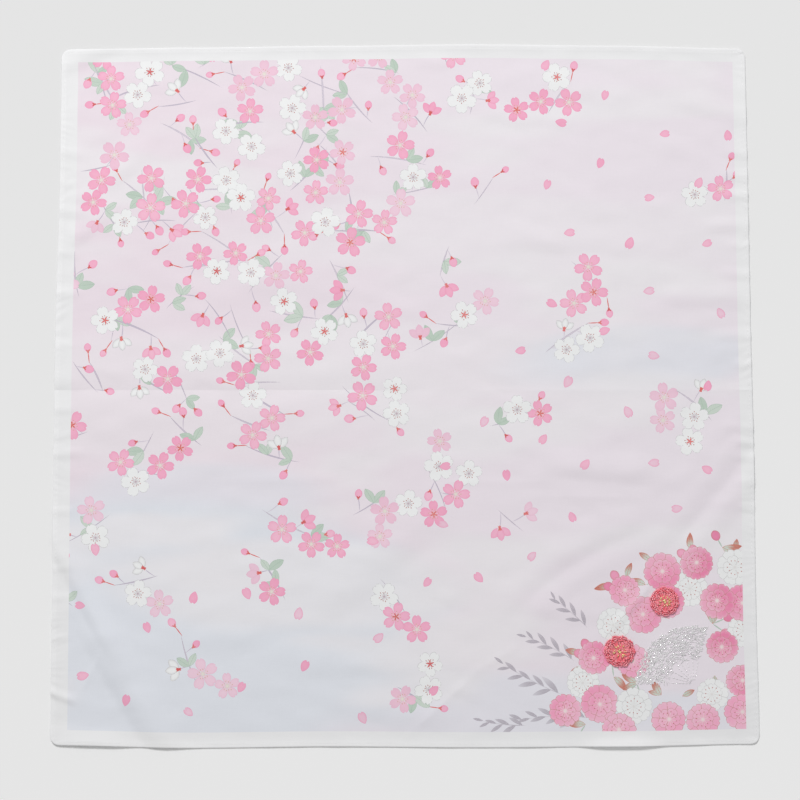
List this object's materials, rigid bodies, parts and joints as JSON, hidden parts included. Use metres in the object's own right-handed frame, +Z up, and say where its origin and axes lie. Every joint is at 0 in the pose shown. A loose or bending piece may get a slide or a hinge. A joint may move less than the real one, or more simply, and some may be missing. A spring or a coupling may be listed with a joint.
{
  "type": "handkerchief",
  "caption": "Square thin cotton handkerchief opened out and laid flat, with a narrow stitched hem, rounded corners and soft storage folds.",
  "frame": {"origin": "middle of the cloth's footprint, on the surface that it lies on", "axes": "+Z up out of the surface, +X towards the cloth's right edge, +Y towards its far edge; the embroidered corner is at +X, -Y"},
  "size_m": [0.4316, 0.4374, 0.0034],
  "materials": {
    "cotton": "matte thin plain weave, floral print on soft pink and pale blue, white border"
  },
  "bodies": {
    "root": {"cloth": "cotton"}
  },
  "joints": []
}
